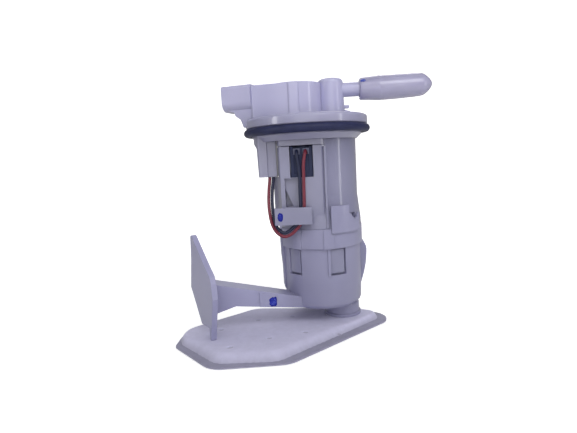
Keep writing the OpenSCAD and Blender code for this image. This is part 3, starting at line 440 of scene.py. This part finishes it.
WIRE_R = 0.78 * MM
WIRE_SIDES = 16
STEPS_BETWEEN_POINTS = 4
RED_ROUTE = [
    [-23.8, -12.2, 80.5], [-23.8, -12.2, 78.5], [-23.9, -13.1, 75.5], [-24.3, -15.4, 71],
    [-24.5, -17.7, 65.5], [-24.1, -19.6, 60], [-23.1, -20.8, 55], [-21.1, -21.3, 51.2],
    [-18, -21.3, 49.1], [-14.9, -21.3, 49.7], [-12.2, -21.3, 51.8], [-9.7, -21.3, 54.6],
    [-8.1, -21.3, 58.5], [-7.6, -21.2, 63], [-7.4, -21.1, 70], [-7.2, -21, 78],
    [-7, -21, 83], [-6.4, -21, 86.6], [-6.1, -20.4, 88.2], [-5.9, -19.2, 88.9],
    [-5.75, -17.95, 88.4], [-5.75, -17.4, 87.2], [-5.75, -17.4, 86.2], [-5.75, -17.4, 85],
]
BLACK_ROUTE = [
    [-22.1, -12.2, 80.5], [-22.1, -12.2, 78.5], [-22.2, -13.2, 75.5], [-22.65, -15.4, 71],
    [-22.85, -17.6, 65.5], [-22.5, -19.5, 60], [-21.7, -20.9, 55.8], [-20.3, -21.3, 52.7],
    [-17.9, -21.3, 50.8], [-15.8, -21.3, 51.3], [-13.8, -21.3, 52.8], [-11.2, -21.3, 55.3],
    [-9.9, -21.3, 59], [-9.3, -21.2, 63], [-9.2, -21.1, 70], [-9.1, -21, 78],
    [-9.5, -21, 83], [-9.9, -21, 86.6], [-10, -20.4, 88.2], [-10.1, -19.2, 88.9],
    [-10.15, -17.95, 88.4], [-10.15, -17.4, 87.2], [-10.15, -17.4, 86.2], [-10.15, -17.4, 85],
]


def lay_wire(name, route, mat, node):
    path = catmull(mm(route), STEPS_BETWEEN_POINTS)
    wire = add(name, tube_mesh(name, path, WIRE_R, WIRE_SIDES), mat)
    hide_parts(node)


lay_wire("wire_red", RED_ROUTE, RED, "red_wire")
lay_wire("wire_black", BLACK_ROUTE, BLACK_WIRE, "black_wire")


# Valve springs: copies of the solids' own coils; the real coils shorten towards their fixed ends as
# the valves lift

def valve_spring(name, node):
    coil = add(name, frame["nodes"][node].data.copy(), STEEL, smooth_faces=False)
    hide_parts(node)
    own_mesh(coil)


valve_spring("check_valve_spring", "check_spring")
valve_spring("regulator_valve_spring", "regulator_spring")


# Strainer: two felt sheets, sealed together round their edge and drawn over the spacer.
# An outline is the hull of circles, (x, y, radius) each, and is measured from the middle.

BAG = [[21.8, -1.8, 5.5], [9.6, -1, 10.4], [-34, -1.5, 13.2], [-57.3, -22.6, 13.2],
       [-65.9, -29.5, 2.7], [-44.5, -44.3, 8], [-24.8, -42.3, 9.5]]
RIM = [[22.4, -2.2, 9.5], [9.6, -0.5, 12.5], [-34, -1, 14.5], [-57.3, -22.6, 13.8],
       [-67, -30.5, 4.2], [-45, -45, 10.7], [-21, -41.5, 11.8]]
TRIM_X = -71.4
MIDDLE = Vector((-20, -18, 0))
INLET = Vector((9.6, 0, 0))
INLET_R = 4.55
TURNS = 600
HALF_TURN_STEPS = 360
LEAST_COSINE = 0.05
TRIM_COSINE = -0.01

SEAL_Z = 1.0
BAG_Z = 4.0
FELT_T = 0.5

# The crown: its width at front and back, its foot above the seal, its curve and its unevenness
CROWN_FRONT = 6.0
CROWN_BACK = 2.6
CROWN_FOOT = 0.06
CROWN_POWER = 2.1
WAVES = 0.16
WAVES_DROP = 0.06
WAVES_X, WAVES_Y, WAVES_SEED = 0.055, 0.07, 1.7
RIPPLES = 0.04
RIPPLES_XY, RIPPLES_SEED = 0.3, 5.1

# Upper sheet: (share of the way from the rim to the bag, height) of each ring on the seal
SEAL_RINGS = [(0, SEAL_Z / 2), (0, SEAL_Z - 0.12), (0.04, SEAL_Z), (0.35, SEAL_Z), (0.7, SEAL_Z),
              (0.94, SEAL_Z)]
# Depths inside the bag's outline of the rings that climb its crown
CROWN_RINGS = [0.0, 0.2, 0.45, 0.8, 1.3, 1.9, 2.6, 3.6, 4.8, 6.1]
TOP_STEPS = 64
# Its under face starts at the third ring, and past the crown takes every sixth from the third on
UNDER_START = 2
UNDER_EVERY = 6
UNDER_LEAST_Z = 0.52

# Lower sheet: (inset from the rim, height) of each ring near the edge, then evenly to the middle
EDGE_RINGS = [(0, SEAL_Z / 2), (0, 0.12), (0.15, 0.02), (3.4, 0.02)]
BOTTOM_STEPS = 12
BOTTOM_Z = 0.03
BOTTOM_WAVES = 0.02
BOTTOM_ROUND, BOTTOM_SEED = 0.02, 3
LOWER_FLAT_Z = SEAL_Z / 2 - 0.02

# The sheet's front, as (start, end, ease) in degrees, and the scallops along it
SCALLOP_SPAN = (200, 350, 15)
CROWN_SPAN = (185, 365, 25)
SCALLOP_DEPTH = 0.28
SCALLOP_PITCH = 3.1
SCALLOP_FADE = 1.9

# Weld spots on the upper sheet: a pit with a raised lip round it, and the half sizes of the darker
# felt that paints shade into the pit
DIMPLES = [(-51.5, -20.9), (-34.6, -8.7), (-17, -4.8), (-43.3, -41.9), (-26.5, -32.8),
           (-9.7, -26.9), (6.8, -25)]
PIT_X = 1.5
PIT_Y = 1.05
PIT_DEPTH = 0.42
PIT_POWER = 2.4
LIP_HEIGHT = 0.07
LIP_AT = 1.6
LIP_SHARPNESS = 5
WELD_X = 1.25
WELD_Y = 0.8


def support(circles, grow):
    """How far the hull of the circles reaches past the middle, in directions all round."""
    out = []
    for k in range(2 * HALF_TURN_STEPS):
        angle = k * math.pi / HALF_TURN_STEPS
        c, s = math.cos(angle), math.sin(angle)
        out.append(max((x - MIDDLE.x) * c + (y - MIDDLE.y) * s + r + grow for x, y, r in circles))
    return out


def outline(circles, grow, trim=None):
    """Distance from the middle to that hull, for each of the sheet's directions."""
    reach = support(circles, grow)
    out = []
    for a in around(TURNS):
        near = min(reach[k] / math.cos(a - k * math.pi / HALF_TURN_STEPS)
                   for k in range(2 * HALF_TURN_STEPS)
                   if math.cos(a - k * math.pi / HALF_TURN_STEPS) > LEAST_COSINE)
        if trim is not None and math.cos(a) < TRIM_COSINE:
            near = min(near, (trim - MIDDLE.x) / math.cos(a))
        out.append(near)
    return out


def spot(i, reach):
    a = 2 * math.pi * i / TURNS
    return MIDDLE + Vector((math.cos(a), math.sin(a), 0)) * reach


def within(i, start, end, ease):
    """1 for the directions from start to end degrees and 0 for the others, with eased ends."""
    a = 360 * i / TURNS
    return smooth((a - start) / ease) * smooth((end - a) / ease)


def scallop(i, run):
    """The sealing tool's toothed line: shallow scallops along the front edges."""
    weight = within(i, *SCALLOP_SPAN)
    return -SCALLOP_DEPTH * weight * (1 - math.cos(2 * math.pi * run / SCALLOP_PITCH)) / 2


def crown_width(i):
    return CROWN_BACK + (CROWN_FRONT - CROWN_BACK) * within(i, *CROWN_SPAN)


def crown_height(x, y, depth, width):
    """Height of the bag's top face: drawn up from the seal, nearly flat, a little uneven."""
    t = min(depth / width, 1)
    rise = BAG_Z - SEAL_Z - CROWN_FOOT
    z = SEAL_Z + CROWN_FOOT + rise * (1 - (1 - t) ** CROWN_POWER)
    waves = WAVES * noise.noise(Vector((x * WAVES_X, y * WAVES_Y, WAVES_SEED))) - WAVES_DROP
    ripples = RIPPLES * noise.noise(Vector((x * RIPPLES_XY, y * RIPPLES_XY, RIPPLES_SEED)))
    z += (waves + ripples) * smooth(t)
    for dx, dy in DIMPLES:
        d = math.hypot((x - dx) / PIT_X, (y - dy) / PIT_Y)
        pit = PIT_DEPTH * math.exp(-(d ** PIT_POWER))
        lip = LIP_HEIGHT * math.exp(-((d - LIP_AT) ** 2) * LIP_SHARPNESS)
        z -= pit - lip
    return z


def welded(p):
    return any(math.hypot((p.x - x) / WELD_X, (p.y - y) / WELD_Y) < 1 for x, y in DIMPLES)


def upper_rings(rim):
    """Rings of points on the upper sheet's top face, from the seal's outer edge to the middle."""
    bag = outline(BAG, 0)
    run = [0.0]
    for i in range(1, TURNS + 1):
        run.append(run[-1] + (spot(i % TURNS, bag[i % TURNS]) - spot(i - 1, bag[i - 1])).length)
    tooth = [scallop(i, run[i]) for i in range(TURNS)]
    rings = []
    for share, z in SEAL_RINGS:
        flat = [spot(i, rim[i] + (bag[i] + tooth[i] - rim[i]) * share) for i in range(TURNS)]
        rings.append([Vector((p.x, p.y, z)) for p in flat])
    for depth in CROWN_RINGS:
        reach = outline(BAG, -depth)
        fade = max(0, 1 - depth / SCALLOP_FADE)
        flat = [spot(i, reach[i] + tooth[i] * fade) for i in range(TURNS)]
        rings.append([Vector((p.x, p.y, crown_height(p.x, p.y, depth, crown_width(i))))
                      for i, p in enumerate(flat)])
    for k in range(1, TOP_STEPS):
        flat = [spot(i, reach[i] * (1 - k / TOP_STEPS)) for i in range(TURNS)]
        rings.append([Vector((p.x, p.y, crown_height(p.x, p.y, CROWN_FRONT, CROWN_FRONT)))
                      for p in flat])
    return rings


def lower_rings(rim):
    """Rings of points on the lower sheet's under face, from its edge to the middle."""
    rings = [[Vector((*spot(i, rim[i] - inset).xy, z)) for i in range(TURNS)]
             for inset, z in EDGE_RINGS]
    last_inset = EDGE_RINGS[-1][0]
    for k in range(1, BOTTOM_STEPS):
        ring = []
        for i in range(TURNS):
            p = spot(i, (rim[i] - last_inset) * (1 - k / BOTTOM_STEPS))
            z = BOTTOM_Z + BOTTOM_WAVES * noise.noise(Vector((k, i * BOTTOM_ROUND, BOTTOM_SEED)))
            ring.append(Vector((p.x, p.y, z)))
        rings.append(ring)
    return rings


def skin(bm, loops, seal_loops=0):
    """Faces from loop to loop and a fan over the last one; the seal gets its felt, and the weld spots
    a darker felt as painted shade in their pits.
    """
    for n, (a, b) in enumerate(zip(loops, loops[1:])):
        for i in range(TURNS):
            j = (i + 1) % TURNS
            face = bm.faces.new((a[i], a[j], b[j], b[i]))
            if n < seal_loops:
                face.material_index = 1
            # the weld spot's darker felt: painted shade in its pit
            elif seal_loops and welded(a[i].co / MM):
                face.material_index = 2
    last = loops[-1]
    centre = bm.verts.new(sum((v.co for v in last), Vector()) / TURNS)
    for i in range(TURNS):
        bm.faces.new((last[i], last[(i + 1) % TURNS], centre))


def upper_mesh(name, rings):
    """Upper sheet: its top face, an under face a felt's thickness below, and the inlet's hole."""
    bm = bmesh.new()
    crown_end = len(SEAL_RINGS) + len(CROWN_RINGS)
    fewer = rings[UNDER_START:crown_end] + rings[crown_end + UNDER_START::UNDER_EVERY]
    sunk = [[Vector((p.x, p.y, max(p.z - FELT_T, UNDER_LEAST_Z))) for p in ring] for ring in fewer]
    top = [lay(bm, ring) for ring in rings]
    under = [top[0]] + [lay(bm, ring) for ring in sunk]
    skin(bm, top, len(SEAL_RINGS))
    skin(bm, under, len(SEAL_RINGS))
    gone = [face for face in bm.faces
            if ((face.calc_center_median() / MM).xy - INLET.xy).length < INLET_R]
    bmesh.ops.delete(bm, geom=gone, context="FACES")
    bmesh.ops.bridge_loops(bm, edges=[edge for edge in bm.edges if edge.is_boundary])
    return to_mesh(name, bm, FELT, FELT_SEAL, FELT_PIT_SHADE)


def lower_mesh(name, rings):
    """Lower sheet: its under face's rings, and a flat upper face about half the seal's height up."""
    bm = bmesh.new()
    loops = [lay(bm, ring) for ring in rings]
    inner = rings[len(EDGE_RINGS) - 1:]
    flat = [lay(bm, [Vector((p.x, p.y, LOWER_FLAT_Z)) for p in ring]) for ring in inner]
    skin(bm, loops)
    skin(bm, [loops[0]] + flat)
    return to_mesh(name, bm, FELT)


def strainer():
    rim = outline(RIM, 0, TRIM_X)
    upper = add("strainer_upper_sheet", upper_mesh("strainer_upper_sheet", upper_rings(rim)), FELT)
    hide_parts("strainer_top")
    lower = add("strainer_lower_sheet", lower_mesh("strainer_lower_sheet", lower_rings(rim)), FELT)
    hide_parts("strainer_bottom")


strainer()


# Milky cap, turned from its profile, (x, radius) each: outside from its mouth to the nose, then
# the bore back out. A radius of 0 is a point on the axis.

CAP_AXIS_Z = 118.0
CAP_SIDES = 96
CAP_OUT = [
    (22.0, 4.5), (22.0, 4.9), (22.1, 5.15), (22.4, 5.33), (23.1, 5.45), (26, 5.6), (29.6, 5.86),
    (30.9, 6.0), (31.4, 6.04), (31.9, 6.03), (32.3, 5.96), (33.2, 5.95), (36, 5.94), (42, 5.88),
    (48, 5.72), (51.4, 5.53), (52.4, 5.4), (53.2, 5.12), (54.2, 4.55), (55.3, 3.65), (56.2, 2.75),
    (56.9, 1.85), (57.3, 1.1), (57.5, 0.5),
]
CAP_NOSE = (57.55, 0)
CAP_BORE_END = (54.7, 0)
CAP_IN = [
    (54.6, 0.6), (54.3, 1.6), (53.4, 3), (52, 3.8), (50.5, 4.06), (40, 4.06), (30, 4.06),
    (22.6, 4.06), (22.1, 4.25),
]
CAP_LIFT = 0.35
LIFT_START = 34
LIFT_RUN = 20


def cap_lift(x):
    """The soft cap sits a little nose up on its pipe."""
    return CAP_LIFT * smooth((x - LIFT_START) / LIFT_RUN)


def cap_radius(x):
    """The cap's outer radius at x, between two points of its profile."""
    for (x0, r0), (x1, r1) in zip(CAP_OUT[1:], CAP_OUT[2:]):
        if x0 <= x <= x1:
            return r0 + (r1 - r0) * (x - x0) / (x1 - x0)
    return CAP_OUT[0][1]


def cap_mesh(name):
    bm = bmesh.new()
    loops = []
    for x, r in CAP_OUT + [CAP_NOSE, CAP_BORE_END] + CAP_IN:
        centre = Vector((x, 0, CAP_AXIS_Z + cap_lift(x)))
        if r == 0:
            loops.append(lay(bm, [centre]))
        else:
            loops.append(lay(bm, [centre + Vector((0, r * math.cos(a), r * math.sin(a)))
                                  for a in around(CAP_SIDES)]))
    loops.append(loops[0])
    for a, b in zip(loops, loops[1:]):
        if len(a) == len(b) == 1:
            continue
        for i in range(CAP_SIDES):
            j = (i + 1) % CAP_SIDES
            corners = [a[i % len(a)], a[j % len(a)], b[j % len(b)], b[i % len(b)]]
            bm.faces.new(list(dict.fromkeys(corners)))
    return to_mesh(name, bm)


cap = add("soft_cap", cap_mesh("soft_cap"), CAP, "cap")
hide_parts("outlet_cap")


# Dabs of blue inspection paint: thin irregular patches on the finger, the arm and the cap

DAB_SIDES = 56
DAB_STEPS = 9
DAB_WOBBLE, WOBBLE_SCALE = 0.2, 2.2
DAB_UNEVEN, UNEVEN_SCALE = 0.3, 2
DAB_EDGE_POWER = 5
OFF_SURFACE = 0.01
FINGER_X, FINGER_Y, FINGER_Z = -18.96, -23.81, 58.64
ARM_SPOT = Vector((-24.95, -19.87, 17.0))
ARM_ALONG = Vector((0.9707, 0.2403, 0))
ARM_OUT = Vector((0.2403, -0.9707, 0))
CAP_SPOT_X = 23.5
CAP_SPOT_TURN = math.radians(38)
CAP_SPOT_R = 5.5


def dab(name, place, half_u, half_v, square, seed, rim, body="module", thick=0.12,
        mats=(BLUE, BLUE_DARK)):
    """A patch of paint; place(u, v, h) turns millimetres on its surface into a point.

    square is 2 for an ellipse and more for a squarer patch, and rim the share in the edge's paint.
    """
    bm = bmesh.new()
    centre = bm.verts.new(place(0, 0, thick) * MM)
    loops = []
    for k in range(1, DAB_STEPS + 1):
        share = k / DAB_STEPS
        loop = []
        for a in around(DAB_SIDES):
            c, s = math.cos(a), math.sin(a)
            reach = (abs(c) ** square + abs(s) ** square) ** (-1 / square)
            edge = Vector((c * WOBBLE_SCALE + seed, s * WOBBLE_SCALE, seed))
            wobble = 1 + DAB_WOBBLE * noise.noise(edge) * share
            inside = Vector((c * share * UNEVEN_SCALE, s * share * UNEVEN_SCALE, seed))
            uneven = 1 + DAB_UNEVEN * noise.noise(inside)
            height = thick * (1 - share ** DAB_EDGE_POWER) * uneven
            loop.append(place(half_u * reach * c * share * wobble,
                              half_v * reach * s * share * wobble, height))
        loops.append(lay(bm, loop))
    for i in range(DAB_SIDES):
        bm.faces.new((centre, loops[0][i], loops[0][(i + 1) % DAB_SIDES]))
    for k, (a, b) in enumerate(zip(loops, loops[1:])):
        for i in range(DAB_SIDES):
            j = (i + 1) % DAB_SIDES
            face = bm.faces.new((a[i], b[i], b[j], a[j]))
            face.material_index = 1 if (k + 2) / DAB_STEPS > 1 - rim else 0
    piece = add(name, to_mesh(name, bm, *mats), BLUE, body)


def on_finger(u, v, h):
    return Vector((FINGER_X + u, FINGER_Y - h, FINGER_Z + v))


def on_arm(u, v, h):
    return ARM_SPOT + ARM_ALONG * u + Vector((0, 0, v)) + ARM_OUT * (h + OFF_SURFACE)


def on_cap(u, v, h):
    radius = cap_radius(CAP_SPOT_X + u) + h + OFF_SURFACE
    a = CAP_SPOT_TURN + v / CAP_SPOT_R
    return Vector((CAP_SPOT_X + u, -radius * math.cos(a), CAP_AXIS_Z + radius * math.sin(a)))


dab("paint_finger", on_finger, 1.3, 2.1, square=2, seed=1.3, rim=0.35)
dab("paint_arm", on_arm, 1.85, 2.3, square=4, seed=4.7, rim=0.12)
dab("paint_cap", on_cap, 1.3, 0.9, square=2.6, seed=8.2, rim=0.2, body="cap", thick=0.08,
    mats=(BLUE_THIN, BLUE))


# Camera at the photograph's place: millimetres, and turns in radians

CAMERA_PLACE = Vector((-2.566, -231.158, 84.977))
CAMERA_YAW = -0.060214
CAMERA_PITCH = 0.124977
CAMERA_ROLL = -0.053404
FOCAL_PIXELS = 450
PHOTO_WIDTH = 577
SENSOR_MM = 36


def camera():
    data = bpy.data.cameras.new("camera")
    cam = bpy.data.objects.new("camera", data)
    bpy.context.scene.collection.objects.link(cam)
    yaw, pitch, roll = CAMERA_YAW, CAMERA_PITCH, CAMERA_ROLL
    ahead = Vector((math.sin(yaw) * math.cos(pitch), math.cos(yaw) * math.cos(pitch),
                    -math.sin(pitch)))
    level_right = Vector((math.cos(yaw), -math.sin(yaw), 0))
    level_up = level_right.cross(ahead)
    right = math.cos(roll) * level_right + math.sin(roll) * level_up
    up = -math.sin(roll) * level_right + math.cos(roll) * level_up
    turned = Matrix((right, up, -ahead)).transposed().to_4x4()
    cam.matrix_world = Matrix.Translation(CAMERA_PLACE * MM) @ turned
    data.sensor_width = SENSOR_MM
    data.lens = FOCAL_PIXELS * SENSOR_MM / PHOTO_WIDTH
    data.clip_start = 0.01
    data.clip_end = 20
    bpy.context.scene.camera = cam


camera()


# Floor and backdrop in one sheet: flat, a quarter round up behind, then a wall. Lengths in metres.

FLOOR_WHITE = (0.8, 0.8, 0.8, 1)
FULL_WHITE = (1, 1, 1, 1)
NEAR = 0.1
FAR = 0.35
NEAR_GLOW = 0.55
FLOOR_SIZE = 3.0
FLOOR_Z = -0.0002
FLOOR_STEPS = 24
FLAT_SHARE = 0.6
BEND_R = 0.6
WALL_TOP = 2.5


def flat_white(name):
    """White floor and backdrop: it takes the shadow near the object and is plain white further off."""
    mat = bpy.data.materials.new(name)
    mat.use_nodes = True
    nodes, links = mat.node_tree.nodes, mat.node_tree.links
    nodes.clear()
    diffuse = nodes.new("ShaderNodeBsdfDiffuse")
    give(diffuse, Color=FLOOR_WHITE)
    glow = nodes.new("ShaderNodeEmission")
    give(glow, Color=FULL_WHITE)
    where = nodes.new("ShaderNodeNewGeometry").outputs["Position"]
    far = math_node(nodes, links, "ShaderNodeVectorMath", "LENGTH", where)
    level = map_range(nodes, links, far.outputs["Value"], NEAR_GLOW, 1.0, NEAR, FAR, eased=True)
    seen = nodes.new("ShaderNodeLightPath").outputs["Is Camera Ray"]
    strength = math_node(nodes, links, "ShaderNodeMath", "MULTIPLY", seen)
    links.new(level, strength.inputs[1])
    links.new(strength.outputs[0], glow.inputs["Strength"])
    total = nodes.new("ShaderNodeAddShader")
    links.new(diffuse.outputs[0], total.inputs[0])
    links.new(glow.outputs[0], total.inputs[1])
    out = nodes.new("ShaderNodeOutputMaterial")
    links.new(total.outputs[0], out.inputs["Surface"])
    return mat


def floor_profile():
    """(y, z) points from the floor's front edge to the wall's top."""
    out = []
    for i in range(FLOOR_STEPS + 1):
        t = i / FLOOR_STEPS
        if t < FLAT_SHARE:
            out.append((-FLOOR_SIZE / 2 + t / FLAT_SHARE * FLOOR_SIZE, FLOOR_Z))
        else:
            a = (t - FLAT_SHARE) / (1 - FLAT_SHARE) * math.pi / 2
            out.append((FLOOR_SIZE / 2 + BEND_R * math.sin(a), FLOOR_Z + BEND_R * (1 - math.cos(a))))
    out.append((FLOOR_SIZE / 2 + BEND_R, WALL_TOP))
    return out


def backdrop():
    mesh = bpy.data.meshes.new("floor")
    bm = bmesh.new()
    rows = [[bm.verts.new((x, y, z)) for x in (-FLOOR_SIZE, FLOOR_SIZE)] for y, z in floor_profile()]
    for a, b in zip(rows, rows[1:]):
        bm.faces.new((a[0], a[1], b[1], b[0]))
    bm.to_mesh(mesh)
    bm.free()
    for poly in mesh.polygons:
        poly.use_smooth = True
    mesh.materials.append(flat_white("floor_white"))
    floor = bpy.data.objects.new("floor", mesh)
    bpy.context.scene.collection.objects.link(floor)


backdrop()


# Lamps: name, place, target, (width, height) in metres, power in watts

LAMPS = [
    ("key", (-0.03, -0.27, 0.34), (0, 0, 0.06), (0.46, 0.2), 0.42),
    ("window", (0.15, -0.27, 0.31), (0.04, 0, 0.118), (0.16, 0.19), 0.26),
    ("left", (-0.4, -0.26, 0.15), (0, 0, 0.07), (0.08, 0.34), 0.5),
    ("right", (0.41, -0.2, 0.15), (0, 0, 0.07), (0.05, 0.4), 0.28),
    ("back", (0.0, 0.3, 0.3), (0, 0, 0.06), (0.3, 0.3), 0.38),
    ("front", (0.0, -0.55, 0.12), (0, 0, 0.06), (0.4, 0.3), 0.45),
]
# Lamps that show in gloss and add no diffuse light
ONLY_IN_GLOSS = ["left"]


def area(name, place, target, size, power):
    data = bpy.data.lights.new(name, "AREA")
    data.shape = "RECTANGLE"
    data.size, data.size_y = size
    data.energy = power
    lamp = bpy.data.objects.new(name, data)
    bpy.context.scene.collection.objects.link(lamp)
    lamp.location = Vector(place)
    lamp.rotation_euler = (Vector(target) - Vector(place)).to_track_quat("-Z", "Y").to_euler()
    lamp.visible_diffuse = name not in ONLY_IN_GLOSS


for lamp_row in LAMPS:
    area(*lamp_row)


# World: plain white to the camera, weaker as light, and weaker still in reflections

WORLD_LIGHT = 0.42
SHARE_IN_GLOSS = 0.4


def white_world():
    world = bpy.data.worlds.new("world")
    bpy.context.scene.world = world
    world.use_nodes = True
    nodes, links = world.node_tree.nodes, world.node_tree.links
    rays = nodes.new("ShaderNodeLightPath")
    seen = map_range(nodes, links, rays.outputs["Is Camera Ray"], WORLD_LIGHT, 1.0)
    mirrored = map_range(nodes, links, rays.outputs["Is Glossy Ray"], 1.0, SHARE_IN_GLOSS)
    level = math_node(nodes, links, "ShaderNodeMath", "MULTIPLY", seen)
    links.new(mirrored, level.inputs[1])
    background = nodes["Background"]
    give(background, Color=FULL_WHITE)
    links.new(level.outputs[0], background.inputs["Strength"])


white_world()

bpy.context.scene.view_settings.view_transform = "Standard"
